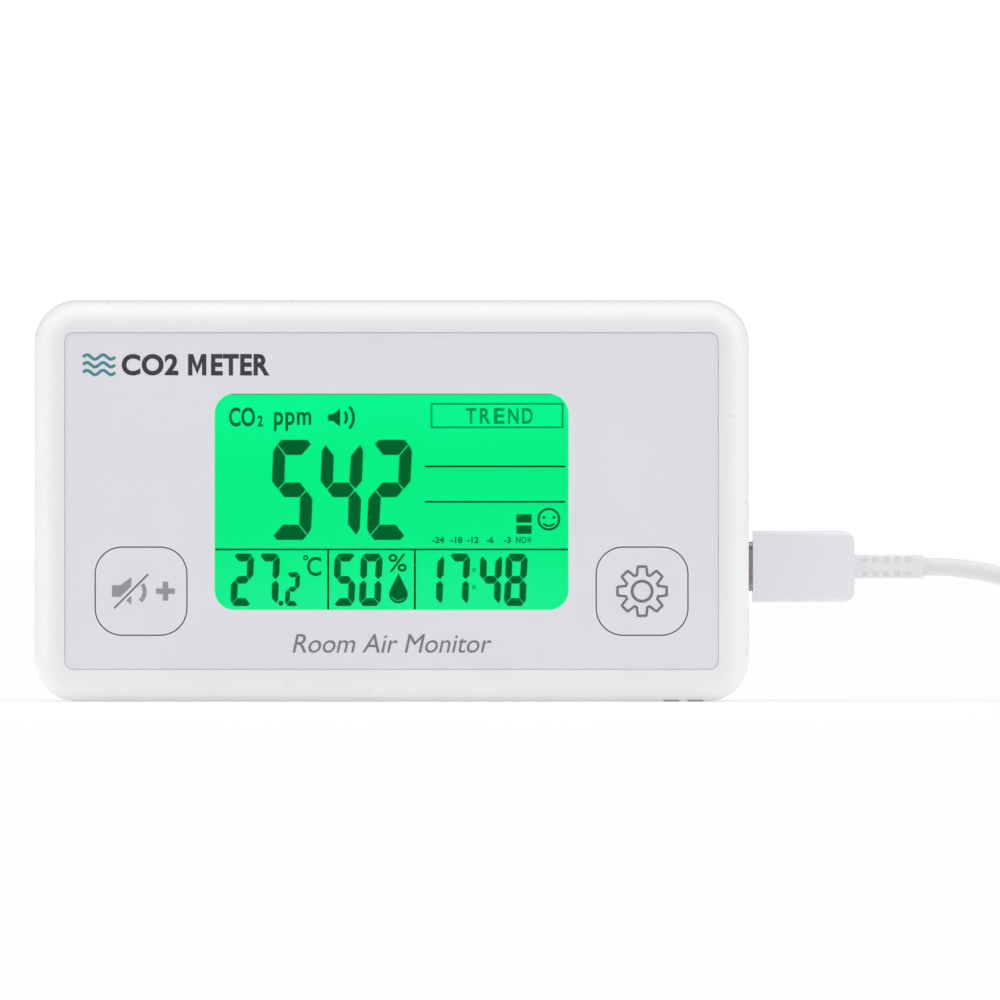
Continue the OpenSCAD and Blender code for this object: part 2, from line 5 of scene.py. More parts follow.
import bmesh
import bpy
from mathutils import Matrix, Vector


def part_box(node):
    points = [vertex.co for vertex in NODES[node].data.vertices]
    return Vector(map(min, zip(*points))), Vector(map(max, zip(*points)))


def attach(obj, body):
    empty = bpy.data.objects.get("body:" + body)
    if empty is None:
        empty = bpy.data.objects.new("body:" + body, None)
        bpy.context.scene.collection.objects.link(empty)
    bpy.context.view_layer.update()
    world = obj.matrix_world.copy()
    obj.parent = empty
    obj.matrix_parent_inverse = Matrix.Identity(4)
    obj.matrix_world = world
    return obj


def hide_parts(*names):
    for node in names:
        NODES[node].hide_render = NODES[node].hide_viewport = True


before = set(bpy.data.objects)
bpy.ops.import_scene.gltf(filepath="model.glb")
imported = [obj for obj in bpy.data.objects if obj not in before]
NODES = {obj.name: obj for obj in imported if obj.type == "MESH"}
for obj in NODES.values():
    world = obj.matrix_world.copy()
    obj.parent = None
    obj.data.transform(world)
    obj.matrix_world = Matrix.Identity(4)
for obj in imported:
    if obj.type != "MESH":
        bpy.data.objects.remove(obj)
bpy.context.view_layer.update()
MM = 0.001

panel_low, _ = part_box("front_panel")
case_low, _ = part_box("front_housing")
window_low, window_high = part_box("display_window")
film_low, film_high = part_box("front_polarizer")
_, relief_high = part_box("strain_relief")


# ------------------------------------------------------------------ camera

VIEW_WIDTH = 0.16784  # what the picture spans at the case's front face, in metres
VIEW_CENTRE = (0.0182, 0.0339)  # x and z at the middle of the picture
SENSOR = 36.0
LENS = 800.0  # long, because the photo shows next to no perspective


def make_camera():
    data = bpy.data.cameras.new("camera")
    data.sensor_width = SENSOR
    data.lens = LENS
    data.clip_start, data.clip_end = 0.05, 50
    camera = bpy.data.objects.new("camera", data)
    distance = VIEW_WIDTH * LENS / SENSOR
    camera.location = (VIEW_CENTRE[0], case_low.y - distance, VIEW_CENTRE[1])
    camera.rotation_euler = (math.radians(90), 0, 0)
    bpy.context.scene.collection.objects.link(camera)
    bpy.context.scene.camera = camera


# ------------------------------------------------------------------ node helpers

NOISE_SPAN = (0.3, 0.7)  # nearly all values of a noise texture lie in here
NOISE_ROUGHNESS = 0.55


def srgb(r, g, b):
    """Linear colour from 0-255 screen values."""
    def linear(v):
        v /= 255
        return v / 12.92 if v <= 0.04045 else ((v + 0.055) / 1.055) ** 2.4
    return (linear(r), linear(g), linear(b), 1.0)


def shade(colour, k):
    """The colour k times as bright."""
    return (colour[0] * k, colour[1] * k, colour[2] * k, 1.0)


def set_stops(node, stops):
    """Fills a colour ramp node with (position, colour) stops."""
    elements = node.color_ramp.elements
    while len(elements) < len(stops):
        elements.new(0.5)
    for element, (position, colour) in zip(elements, stops):
        element.position = position
        element.color = colour


class Finish:
    """A material's node tree with short calls for the nodes that it needs."""

    def __init__(self, name, **sockets):
        self.material = bpy.data.materials.new(name)
        self.material.use_nodes = True
        self.tree = self.material.node_tree
        self.nodes, self.links = self.tree.nodes, self.tree.links
        self.bsdf = self.nodes["Principled BSDF"]
        self.output = self.nodes["Material Output"]
        for socket, value in sockets.items():
            self.bsdf.inputs[socket.replace("_", " ")].default_value = value

    def node(self, kind, **values):
        made = self.nodes.new("ShaderNode" + kind)
        for key, value in values.items():
            setattr(made, key, value)
        return made

    def link(self, source, target):
        self.links.new(source, target)

    def place(self, scale=(1, 1, 1)):
        """Object coordinates in metres, stretched by scale."""
        where = self.node("TexCoord")
        mapping = self.node("Mapping")
        mapping.inputs["Scale"].default_value = scale
        self.link(where.outputs["Object"], mapping.inputs["Vector"])
        return mapping.outputs["Vector"]

    def noise(self, scale, detail, stretch=(1, 1, 1)):
        made = self.node("TexNoise")
        made.inputs["Scale"].default_value = scale
        made.inputs["Detail"].default_value = detail
        made.inputs["Roughness"].default_value = NOISE_ROUGHNESS
        self.link(self.place(stretch), made.inputs["Vector"])
        return made.outputs["Fac"]

    def spread(self, value, low, high, at=NOISE_SPAN):
        """Where value runs from at[0] to at[1], the result runs from low to high."""
        made = self.node("MapRange")
        made.inputs["From Min"].default_value, made.inputs["From Max"].default_value = at
        made.inputs["To Min"].default_value = low
        made.inputs["To Max"].default_value = high
        self.link(value, made.inputs["Value"])
        return made.outputs["Result"]

    def ramp(self, value, stops):
        made = self.node("ValToRGB")
        set_stops(made, stops)
        self.link(value, made.inputs["Fac"])
        return made.outputs["Color"]

    def paint(self, colour):
        self.link(colour, self.bsdf.inputs["Base Color"])

    def rough(self, value):
        self.link(value, self.bsdf.inputs["Roughness"])

    def bump(self, height, depth, strength=1.0):
        """Bump of a real depth in metres, on top of any bump made before."""
        made = self.node("Bump")
        made.inputs["Strength"].default_value = strength
        made.inputs["Distance"].default_value = depth
        self.link(height, made.inputs["Height"])
        normal = self.bsdf.inputs["Normal"]
        if normal.is_linked:
            self.link(normal.links[0].from_socket, made.inputs["Normal"])
        self.link(made.outputs["Normal"], normal)

    def tinted(self, noise, colour, amount):
        """The colour, darker and lighter by the amount where the noise is low and high."""
        low, high = NOISE_SPAN
        self.paint(self.ramp(noise, [(low, shade(colour, 1 - amount)),
                                     (high, shade(colour, 1 + amount))]))

    def mottle(self, colour, amount, scale):
        """Colour that wanders a little, as pigment and handling leave it."""
        self.tinted(self.noise(scale, 4), colour, amount)


# ------------------------------------------------------------------ finishes

def moulded(name, colour, roughness=0.5, grain=6e-6, grain_scale=5200, tint=0.012, **more):
    """Moulded plastic with a fine spark-eroded skin."""
    f = Finish(name, **more)
    f.mottle(colour, tint, 45)
    f.rough(f.spread(f.noise(160, 4), roughness - 0.05, roughness + 0.05))
    f.bump(f.noise(grain_scale, 2), grain)
    f.bump(f.noise(90, 2), grain * 2.5, strength=0.5)
    return f.material


def brushed(name, colour, roughness, along=(1, 1, 1)):
    """Drawn or rolled metal. Its fine lines run along the axis that along shortens."""
    f = Finish(name, Metallic=1.0)
    lines = f.noise(2600, 3, along)
    f.tinted(lines, colour, 0.08)
    f.rough(f.spread(lines, roughness - 0.08, roughness + 0.1))
    f.bump(lines, 2e-6)
    return f.material


def circuit_board(name, colour):
    """Solder mask over copper tracks, which are a shade lighter and slightly raised."""
    f = Finish(name, Coat_Weight=0.25, Coat_Roughness=0.15)
    cells = f.node("TexVoronoi", feature="DISTANCE_TO_EDGE", distance="MANHATTAN")
    cells.inputs["Scale"].default_value = 210
    cells.inputs["Randomness"].default_value = 0.85
    f.link(f.place(), cells.inputs["Vector"])
    tracks = f.spread(cells.outputs["Distance"], 1, 0, (0.05, 0.09))
    f.paint(f.ramp(tracks, [(0, shade(colour, 0.8)), (1, shade(colour, 1.35))]))
    f.rough(f.spread(f.noise(900, 3), 0.28, 0.42))
    f.bump(tracks, 2.5e-5)
    return f.material


def soft_rubber(name, colour):
    """Dull rubber with a dusty sheen."""
    f = Finish(name, Sheen_Weight=0.2, Sheen_Roughness=0.5)
    f.mottle(colour, 0.08, 300)
    f.rough(f.spread(f.noise(1500, 3), 0.7, 0.88))
    f.bump(f.noise(3500, 2), 8e-6)
    return f.material


def cable_jacket(name, colour):
    """Soft extruded jacket: satin and a little uneven."""
    f = Finish(name, Sheen_Weight=0.08, Sheen_Roughness=0.4)
    f.mottle(colour, 0.012, 120)
    f.rough(f.spread(f.noise(700, 3), 0.46, 0.6))
    f.bump(f.noise(1800, 3), 7e-6)
    return f.material


def woven_strap(name, colour):
    """Hook-and-loop tape: a tight weave under a short fuzz."""
    f = Finish(name, Sheen_Weight=0.5, Sheen_Roughness=0.45)
    warp = f.node("TexWave", wave_type="BANDS", bands_direction="X", wave_profile="SIN")
    weft = f.node("TexWave", wave_type="BANDS", bands_direction="DIAGONAL", wave_profile="SIN")
    for wave, scale, distortion in ((warp, 420, 1.2), (weft, 520, 2.0)):
        wave.inputs["Scale"].default_value = scale
        wave.inputs["Distortion"].default_value = distortion
        wave.inputs["Detail"].default_value = 2
        wave.inputs["Detail Scale"].default_value = 3
        f.link(f.place(), wave.inputs["Vector"])
    cross = f.node("Math", operation="MULTIPLY")
    f.link(warp.outputs["Fac"], cross.inputs[0])
    f.link(weft.outputs["Fac"], cross.inputs[1])
    f.paint(f.ramp(cross.outputs["Value"], [(0, shade(colour, 0.55)), (1, shade(colour, 1.5))]))
    f.rough(f.spread(f.noise(2400, 3), 0.8, 0.95))
    f.bump(cross.outputs["Value"], 1.2e-4)
    f.bump(f.noise(4200, 4), 8e-5)
    return f.material


def printed_ink(name, colour):
    """Screen-printed ink, a little uneven in colour and gloss."""
    f = Finish(name)
    f.mottle(colour, 0.05, 1800)
    f.rough(f.spread(f.noise(2500, 3), 0.5, 0.65))
    f.bump(f.noise(6000, 2), 3e-6)
    return f.material


def glow(name, stops, low, high):
    """Lit film: its colour changes with height, from low to high in metres."""
    f = Finish(name, Base_Color=(0, 0, 0, 1), Roughness=0.6, Specular_IOR_Level=0.0)
    where = f.node("SeparateXYZ")
    f.link(f.place(), where.inputs["Vector"])
    height = f.spread(where.outputs["Z"], 0, 1, (low, high))
    unevenness = 0.25
    cloud = f.node("Math", operation="MULTIPLY_ADD")
    f.link(f.noise(60, 2), cloud.inputs[0])
    cloud.inputs[1].default_value = unevenness
    f.link(height, cloud.inputs[2])
    shift = f.node("Math", operation="SUBTRACT")
    f.link(cloud.outputs["Value"], shift.inputs[0])
    shift.inputs[1].default_value = unevenness / 2
    f.link(f.ramp(shift.outputs["Value"], stops), f.bsdf.inputs["Emission Color"])
    f.bsdf.inputs["Emission Strength"].default_value = 1.0
    return f.material


def clear_window(name):
    """Clear moulded lens with a faint reflection and an anti-glare skin."""
    f = Finish(name)
    clear = f.node("BsdfTransparent")
    clear.inputs["Color"].default_value = (0.985, 0.99, 0.985, 1)
    gloss = f.node("BsdfGlossy")
    gloss.inputs["Roughness"].default_value = 0.18
    facing = f.node("Fresnel")
    facing.inputs["IOR"].default_value = 1.1
    skin = f.node("Bump")
    skin.inputs["Distance"].default_value = 2e-6
    f.link(f.noise(4200, 2), skin.inputs["Height"])
    f.link(skin.outputs["Normal"], gloss.inputs["Normal"])
    both = f.node("MixShader")
    f.link(facing.outputs["Fac"], both.inputs["Fac"])
    f.link(clear.outputs["BSDF"], both.inputs[1])
    f.link(gloss.outputs["BSDF"], both.inputs[2])
    f.link(both.outputs["Shader"], f.output.inputs["Surface"])
    return f.material


def optical(name, colour, roughness, transmission=0.0):
    """Film, glass or guide inside the display stack."""
    scale = 700
    f = Finish(name, Transmission_Weight=transmission, IOR=1.49)
    f.mottle(colour, 0.03, 120)
    f.rough(f.spread(f.noise(scale, 3), roughness, roughness + 0.12))
    f.bump(f.noise(scale * 4, 2), 3e-6)
    return f.material


def gold_foil(name, colour):
    """Thin-plated optical chamber, cast and then flashed with gold."""
    f = Finish(name, Metallic=1.0)
    f.mottle(colour, 0.1, 260)
    f.rough(f.spread(f.noise(800, 4), 0.24, 0.42))
    f.bump(f.noise(1600, 3), 8e-6)
    return f.material


def membrane(name, colour):
    """White filter paper."""
    f = Finish(name, Sheen_Weight=0.3)
    f.mottle(colour, 0.04, 900)
    f.rough(f.spread(f.noise(1500, 4), 0.85, 0.98))
    f.bump(f.noise(2600, 5), 4e-5)
    return f.material


# ------------------------------------------------------------------ drawing in a plane

class Drawing:
    """Thin closed solids drawn in a plane that faces -Y.

    Points are (across, up) in millimetres from an origin."""

    def __init__(self, origin_x, origin_z, front_y, thickness):
        self.origin = (origin_x, origin_z)
        self.front, self.back = front_y, front_y + thickness
        self.bm = bmesh.new()

    def _ring(self, points, y):
        ox, oz = self.origin
        return [self.bm.verts.new((ox + u * MM, y, oz + v * MM)) for u, v in points]

    def prism(self, points):
        """Closed outline, filled."""
        area = sum(a[0] * b[1] - b[0] * a[1] for a, b in zip(points, points[1:] + points[:1]))
        if area < 0:
            points = points[::-1]
        near, far = self._ring(points, self.front), self._ring(points, self.back)
        self.bm.faces.new(near)
        self.bm.faces.new(far[::-1])
        for i in range(len(points)):
            j = (i + 1) % len(points)
            self.bm.faces.new((near[j], near[i], far[i], far[j]))

    def band(self, one, other, closed):
        """Strip between two lines that have the same number of points."""
        rings = [self._ring(line, y) for line in (one, other) for y in (self.front, self.back)]
        near_a, far_a, near_b, far_b = rings
        count = len(one)
        made = []
        for i in range(count if closed else count - 1):
            j = (i + 1) % count
            made.append(self.bm.faces.new((near_a[i], near_b[i], near_b[j], near_a[j])))
            made.append(self.bm.faces.new((far_a[j], far_b[j], far_b[i], far_a[i])))
            made.append(self.bm.faces.new((near_a[j], far_a[j], far_a[i], near_a[i])))
            made.append(self.bm.faces.new((near_b[i], far_b[i], far_b[j], near_b[j])))
        if not closed:
            made.append(self.bm.faces.new((near_a[0], far_a[0], far_b[0], near_b[0])))
            made.append(self.bm.faces.new((near_b[-1], far_b[-1], far_a[-1], near_a[-1])))
        bmesh.ops.recalc_face_normals(self.bm, faces=made)

    def stroke(self, points, width, closed=False):
        """Line of a width, mitred at its corners, the mitre held short at sharp ones."""
        count = len(points)
        least = 0.3
        sides = ([], [])
        for i, (u, v) in enumerate(points):
            before = points[i - 1] if closed or i else points[i]
            after = points[(i + 1) % count] if closed or i < count - 1 else points[i]
            d1 = Vector((u - before[0], v - before[1]))
            d2 = Vector((after[0] - u, after[1] - v))
            d1 = d1.normalized() if d1.length else d2.normalized()
            d2 = d2.normalized() if d2.length else d1
            across = Vector((-d1.y - d2.y, d1.x + d2.x)).normalized()
            reach = width / 2 / max(least, across.dot(Vector((-d1.y, d1.x))))
            sides[0].append((u + across.x * reach, v + across.y * reach))
            sides[1].append((u - across.x * reach, v - across.y * reach))
        self.band(sides[0], sides[1], closed)

    def rectangle(self, u0, v0, u1, v1):
        self.prism([(u0, v0), (u1, v0), (u1, v1), (u0, v1)])

    def disc(self, u, v, r, steps=32):
        self.prism(arc(u, v, r, 0, 360 - 360 / steps, steps))

    def ring(self, u, v, r, width, steps=48):
        self.stroke(arc(u, v, r, 0, 360 - 360 / steps, steps), width, closed=True)

    def text(self, words, box, bold=0.0, shear=0.0, spacing=1.0):
        """Lettering in Blender's own font, stretched to fill box = (u0, v0, u1, v1)."""
        curve = bpy.data.curves.new("lettering", "FONT")
        curve.body = words
        curve.offset, curve.shear, curve.space_character = bold, shear, spacing
        curve.resolution_u = 6
        curve.extrude = 0.1
        holder = bpy.data.objects.new("lettering", curve)
        bpy.context.scene.collection.objects.link(holder)
        bpy.context.view_layer.update()
        graph = bpy.context.evaluated_depsgraph_get()
        solid = bpy.data.meshes.new_from_object(holder.evaluated_get(graph))
        lows = [min(v.co[k] for v in solid.vertices) for k in range(3)]
        highs = [max(v.co[k] for v in solid.vertices) for k in range(3)]
        u0, v0, u1, v1 = box
        ox, oz = self.origin
        for vertex in solid.vertices:
            part = [(vertex.co[k] - lows[k]) / (highs[k] - lows[k]) for k in range(3)]
            vertex.co = (ox + (u0 + part[0] * (u1 - u0)) * MM,
                         self.back + part[2] * (self.front - self.back),
                         oz + (v0 + part[1] * (v1 - v0)) * MM)
        loose = bmesh.new()
        loose.from_mesh(solid)
        bmesh.ops.remove_doubles(loose, verts=loose.verts, dist=1e-7)
        loose.to_mesh(solid)
        loose.free()
        self.bm.from_mesh(solid)
        bpy.data.objects.remove(holder)
        bpy.data.curves.remove(curve)
        bpy.data.meshes.remove(solid)

    def piece(self, name, material, body, slot):
        """Ends the drawing and puts it in the scene."""
        mesh = bpy.data.meshes.new(name)
        self.bm.to_mesh(mesh)
        self.bm.free()
        return add_piece(name, mesh, material, body)


def add_piece(name, data, material, body):
    """Puts a mesh or curve in the scene, riding on a body and with a material slot."""
    made = bpy.data.objects.new(name, data)
    bpy.context.scene.collection.objects.link(made)
    data.materials.append(material)
    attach(made, body)
    return made


def arc(u, v, r, start, end, steps):
    """Points along a circle, angles in degrees from +across towards +up."""
    angles = [math.radians(start + (end - start) * k / (steps - 1)) for k in range(steps)]
    return [(u + r * math.cos(a), v + r * math.sin(a)) for a in angles]


def rounded_box(u0, v0, u1, v1, r, steps):
    """Outline of a box with corners of radius r, each of that many points."""
    corners = ((u1 - r, v1 - r, 0), (u0 + r, v1 - r, 90),
               (u0 + r, v0 + r, 180), (u1 - r, v0 + r, 270))
    return [p for u, v, turn in corners for p in arc(u, v, r, turn, turn + 90, steps)]


# ------------------------------------------------------------------ display graphics

SLANT = 0.045
SEGMENTS_OF = {
    "0": "abcdef", "1": "bc", "2": "abged", "4": "fgbc", "5": "afgcd", "7": "abc", "8": "abcdefg",
}
# Width, height, height of the level bars, width of the upright bars, gap between bars
BIG_DIGIT = (6.95, 16.8, 2.6, 2.1, 0.17)
SMALL_DIGIT = (3.66, 8.8, 1.36, 1.14, 0.1)
DECIMAL_DIGIT = (2.3, 5.65, 0.88, 0.78, 0.08)
DISPLAY_PRINT = 0.04 * MM
PANEL_PRINT = 0.03 * MM


def segment_outlines(w, h, a, b, gap):
    """The seven segments of an upright digit of size (w, h, a, b, gap), as in BIG_DIGIT."""
    middle = h / 2
    tip = (0.29 * b, h - 0.30 * a)
    inner = (b, h - a)
    run = Vector((inner[0] - tip[0], inner[1] - tip[1])).normalized()
    off = Vector((-run.y, run.x)) * gap / 2
    if off.x < 0:
        off = -off
    top = [(tip[0] + off.x, tip[1] + off.y), (0.62 * b, h), (w - 0.62 * b, h),
           (w - tip[0] - off.x, tip[1] + off.y), (w - inner[0] - off.x, inner[1] + off.y),
           (inner[0] + off.x, inner[1] + off.y)]
    centre_tip = 0.5 * b
    half = 0.47 * a
    upper_left = [(tip[0] - off.x, tip[1] - off.y), (0, h - 0.74 * a), (0, middle + 0.58 * a),
                  (centre_tip, middle + gap), (b, middle + half + gap * 0.4),
                  (inner[0] - off.x, inner[1] - off.y)]
    centre = [(centre_tip + gap, middle), (b + gap * 0.6, middle + half),
              (w - b - gap * 0.6, middle + half), (w - centre_tip - gap, middle),
              (w - b - gap * 0.6, middle - half), (b + gap * 0.6, middle - half)]

    def across(points):
        return [(w - u, v) for u, v in points]

    def down(points):
        return [(u, h - v) for u, v in points]

    return {"a": top, "d": down(top), "g": centre, "f": upper_left, "b": across(upper_left),
            "e": down(upper_left), "c": down(across(upper_left))}


def draw_digit(drawing, digit, u, v, size):
    """A leaning digit, u and v are its lower left corner."""
    outlines = segment_outlines(*size)
    for name in SEGMENTS_OF[digit]:
        drawing.prism([(u + x + SLANT * y, v + y) for x, y in outlines[name]])


def display_graphics(ink, pale_ink, faint_ink, dark_ink):
    """All that the lit display shows, printed on the front polarizer."""
    centre_x = (window_low.x + window_high.x) / 2
    centre_z = (window_low.z + window_high.z) / 2

    def sheet():
        return Drawing(centre_x, centre_z, film_low.y - DISPLAY_PRINT, DISPLAY_PRINT)

    def finish(drawing, name, material):
        drawing.piece(name, material, "case", "display_glass")

    big = sheet()
    for k, digit in enumerate("542"):
        draw_digit(big, digit, -20.55 + 8.17 * k, -6.4, BIG_DIGIT)
    finish(big, "display_gas_reading", ink)

    small = sheet()
    base_v = -17.5
    for digit, u in (("2", -27.12), ("7", -22.77), ("5", -9.93), ("0", -5.52),
                     ("1", 4.83), ("7", 9.18), ("4", 14.56), ("8", 18.83)):
        draw_digit(small, digit, u, base_v, SMALL_DIGIT)
    draw_digit(small, "2", -17.92, base_v, DECIMAL_DIGIT)
    small.disc(-18.6, -17.05, 0.42, 16)
    finish(small, "display_small_readings", ink)

    signs = sheet()
    signs.text("CO", (-27.3, 12.65, -22.95, 15.85), 0.02)
    signs.text("2", (-22.5, 12.65, -21.65, 14.5), 0.03)
    signs.text("ppm", (-19.75, 11.9, -13.5, 15.1), 0.018, spacing=1.1)
    signs.text("C", (-14.2, -12.45, -11.8, -9.25), 0.012)
    signs.ring(-14.43, -9.4, 0.32, 0.26, 20)
    signs.text("%", (-0.55, -11.75, 2.55, -8.75), 0.01)
    hours_v0, hours_v1 = -6.95, -5.87
    for words, u0, u1 in (("-24", 6.83, 8.82), ("-18", 9.89, 11.88), ("-12", 12.67, 14.63),
                          ("-6", 15.9, 17.15), ("-3", 18.84, 20.02)):
        signs.text(words, (u0, hours_v0, u1, hours_v1), 0.03)
    for k, letter in enumerate("NOW"):
        u = 20.88 + 0.93 * k
        signs.text(letter, (u, hours_v0, u + 0.78, hours_v1), 0.02)
    finish(signs, "display_units", ink)

    pale = sheet()
    for k, letter in enumerate("TREND"):
        u = 12.45 + 2.37 * k
        pale.text(letter, (u, 13.1, u + 1.77, 15.75), 0.022)
    pale.stroke([(6.7, 12.5), (28.7, 12.5), (28.7, 16.45), (6.7, 16.45)], 0.3, closed=True)
    finish(pale, "display_pale_signs", pale_ink)

    faint = sheet()
    for u, v in ((13.87, -11.45), (13.82, -14.35)):
        faint.disc(u, v, 0.38, 16)
    finish(faint, "display_clock_colon", faint_ink)

    icons = sheet()
    speaker_u, speaker_v = -10.7, 14.15
    icons.prism([(speaker_u + u, speaker_v + v) for u, v in (
        (0, -0.56), (0.83, -0.56), (2.05, -1.5), (2.05, 1.5), (0.83, 0.56), (0, 0.56))])
    for r, half_angle in ((1.6, 38), (2.75, 42)):
        icons.stroke(arc(-9.15, speaker_v, r, -half_angle, half_angle, 12), 0.47)
    for v0, v1 in ((-3.5, -2.1), (-5.38, -3.95)):
        icons.rectangle(20.95, v0, 23.5, v1)
    icons.ring(26.4, -2.92, 1.73, 0.38)
    for u in (25.54, 27.26):
        icons.disc(u, -2.62, 0.27, 12)
    icons.stroke(arc(26.4, -2.87, 1.18, 216, 324, 12), 0.36)
    drop_u = 1.15
    icons.prism(arc(drop_u, -15.5, 1.56, 152, 388, 22) + [(drop_u, -12.02)])
    finish(icons, "display_icons", ink)

    rules = sheet()
    half = 0.15
    for v in (5.95, 0.0):
        rules.rectangle(5.6, v - half, 29.1, v + half)
    edge_u = (window_high.x - window_low.x) / 2 / MM - 1.9
    floor_v = -(window_high.z - window_low.z) / 2 / MM + 1.7
    level_v = -8.0
    rules.rectangle(-edge_u, level_v - half, edge_u, level_v + half)
    for u in (-10.65, 3.9):
        rules.rectangle(u - half, floor_v, u + half, level_v - half)
    finish(rules, "display_rules", dark_ink)

    shine = Drawing(centre_x, centre_z, film_low.y - 2 * DISPLAY_PRINT, DISPLAY_PRINT * 0.9)
    shine.stroke(arc(drop_u, -15.4, 1.2, 205, 325, 14), 0.2)
    finish(shine, "display_drop_highlight", faint_ink)


# ------------------------------------------------------------------ printing on the panel and keys

def print_key_signs(ink, line_ink):
    """Muted loudspeaker and plus on one key, gear on the other."""
    def face(node):
        low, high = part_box(node)
        return Drawing((low.x + high.x) / 2, (low.z + high.z) / 2, low.y - PANEL_PRINT, PANEL_PRINT)

    mute = face("mute_key")
    mute.prism([(-4.88, 1.0), (-3.47, 1.0), (-1.63, 2.35), (-1.63, 0.84), (-3.47, -0.96),
                (-4.88, -0.96)])
    mute.prism([(-2.52, -1.58), (-1.63, -0.79), (-1.63, -2.25)])
    mute.stroke(arc(-1.55, -0.06, 2.15, -48, 35, 12), 0.7)
    plus_u, arm, half = 4.1, 1.58, 0.45
    mute.prism([(plus_u + u, v) for u, v in (
        (-arm, -half), (-half, -half), (-half, -arm), (half, -arm), (half, -half), (arm, -half),
        (arm, half), (half, half), (half, arm), (-half, arm), (-half, half), (-arm, half))])
    mute.piece("mute_and_plus_sign", ink, "mute_button", "panel_plastic")
    slash = face("mute_key")
    slash.stroke([(-4.5, -2.87), (1.19, 2.85)], 0.3)
    slash.piece("mute_slash", line_ink, "mute_button", "panel_plastic")

    gear = face("settings_key")
    gear.stroke(gear_outline(8, 4.18, 2.85), 0.42, closed=True)
    gear.ring(0, 0, 1.68, 0.49)
    gear.piece("gear_sign", line_ink, "settings_button", "panel_plastic")


def gear_outline(teeth, tip_r, root_r):
    """Outline of a gear whose teeth taper and have blunted tips."""
    points = []
    pitch = 360 / teeth
    shoulder_r = tip_r - 0.2
    for k in range(teeth):
        middle = 90 + k * pitch
        for offset, r in ((-0.4, root_r), (-0.24, shoulder_r), (-0.2, tip_r),
                          (0.2, tip_r), (0.24, shoulder_r), (0.4, root_r)):
            a = math.radians(middle + offset * pitch)
            points.append((r * math.cos(a), r * math.sin(a)))
    return points[::-1]


def block_m(u, v, w, h, stem):
    """Heavy capital M as one outline."""
    notch, foot = 0.42 * h, 0.06 * h
    left = [(0, 0), (0, h), (stem * 1.15, h), (w / 2, notch)]
    right = [(w - x, y) for x, y in left[2::-1]]
    inside = [(w - stem, 0), (w - stem, 0.62 * h), (w / 2, foot), (stem, 0.62 * h), (stem, 0)]
    return [(u + x, v + y) for x, y in left + right + inside]


def print_panel_signs(dark_ink, grey_ink, accent_ink):
    """Heading, caption and air mark. Origin: the case's middle, on the surface it stands on."""
    def sheet():
        return Drawing(0, 0, panel_low.y - PANEL_PRINT, PANEL_PRINT)

    def finish(drawing, name, material):
        drawing.piece(name, material, "case", "panel_plastic")

    # The M is an outline of its own, because the font's M overlaps itself when it is made bold
    heading = sheet()
    base, top = 54.8, 58.4
    heading.text("CO2", (-45.3, base, -35.8, top), 0.035, spacing=1.06)
    heading.prism(block_m(-34.15, base, 3.05, top - base, 0.72))
    heading.text("ETER", (-30.3, base, -20.5, top), 0.035, spacing=1.06)
    finish(heading, "panel_heading", dark_ink)

    caption = sheet()
    caption.text("Room Air Monitor", (-16.6, 8.25, 16.8, 11.4), shear=0.22)
    finish(caption, "panel_caption", grey_ink)

    waves = sheet()
    steps, start, length, swing = 24, -51.8, 5.4, 0.38
    for k in range(3):
        middle = 55.3 + 1.3 * k
        waves.stroke([(start + length * i / steps,
                       middle + swing * math.sin(4 * math.pi * i / steps))
                      for i in range(steps + 1)], 0.5)
    finish(waves, "panel_air_mark", accent_ink)


# ------------------------------------------------------------------ cable

CORD_D = 3.0
EXIT_X = relief_high.x / MM
# Middle line of the cord, in millimetres: from the relief down to the hank, then out of it
LEAD_ROUTE = [
    (EXIT_X, -1.2, 22.7), (EXIT_X + 4, -1.2, 22.6), (97, -1.2, 22.2), (101, -1.4, 21.5),
    (105, -2, 20.2), (109, -3, 18.4), (113, -4.5, 16.2), (117, -6, 14), (121, -7.4, 12.1),
    (125, -8.5, 10.4), (129, -9, 9.2), (133, -9, 8.5), (138, -9, 8.3),
]
TAIL_ROUTE = [
    (182, -12, 2.3), (188, -11.6, 2.3), (193, -10.3, 2.5), (198, -8.3, 3.1),
    (203, -6.8, 3.7), (207, -6.5, 3.8),
]
HANK_X = (128.0, 182.5)  # centres of its left-hand and right-hand folds
HANK_TURNS = [(9, 8.3), (12, 8.3), (12, 5.3), (9, 5.3), (9, 2.3), (12, 2.3)]  # fold radius, height
# The part of the left-hand fold in which each turn changes into the next one
CHANGE_START = (0.64, 0.48, 0.32, 0.16, 0.0)
CHANGE_SPAN = 0.36
FOLD_STEPS = 18
RUN_STEPS = 8
ROUTE_STEPS = 4


def smooth_route(points):
    """Catmull-Rom line through the points."""
    pts = [Vector(p) for p in points]
    pts = [2 * pts[0] - pts[1]] + pts + [2 * pts[-1] - pts[-2]]
    line = []
    for p0, p1, p2, p3 in zip(pts, pts[1:], pts[2:], pts[3:]):
        for k in range(ROUTE_STEPS):
            t = k / ROUTE_STEPS
            line.append(0.5 * (2 * p1 + (p2 - p0) * t + (2 * p0 - 5 * p1 + 4 * p2 - p3) * t ** 2
                               + (3 * p1 - 3 * p2 + p3 - p0) * t ** 3))
    return line + [pts[-2]]


def smoothstep(t):
    """Eased 0 to 1, and level outside."""
    t = min(1.0, max(0.0, t))
    return t * t * (3 - 2 * t)


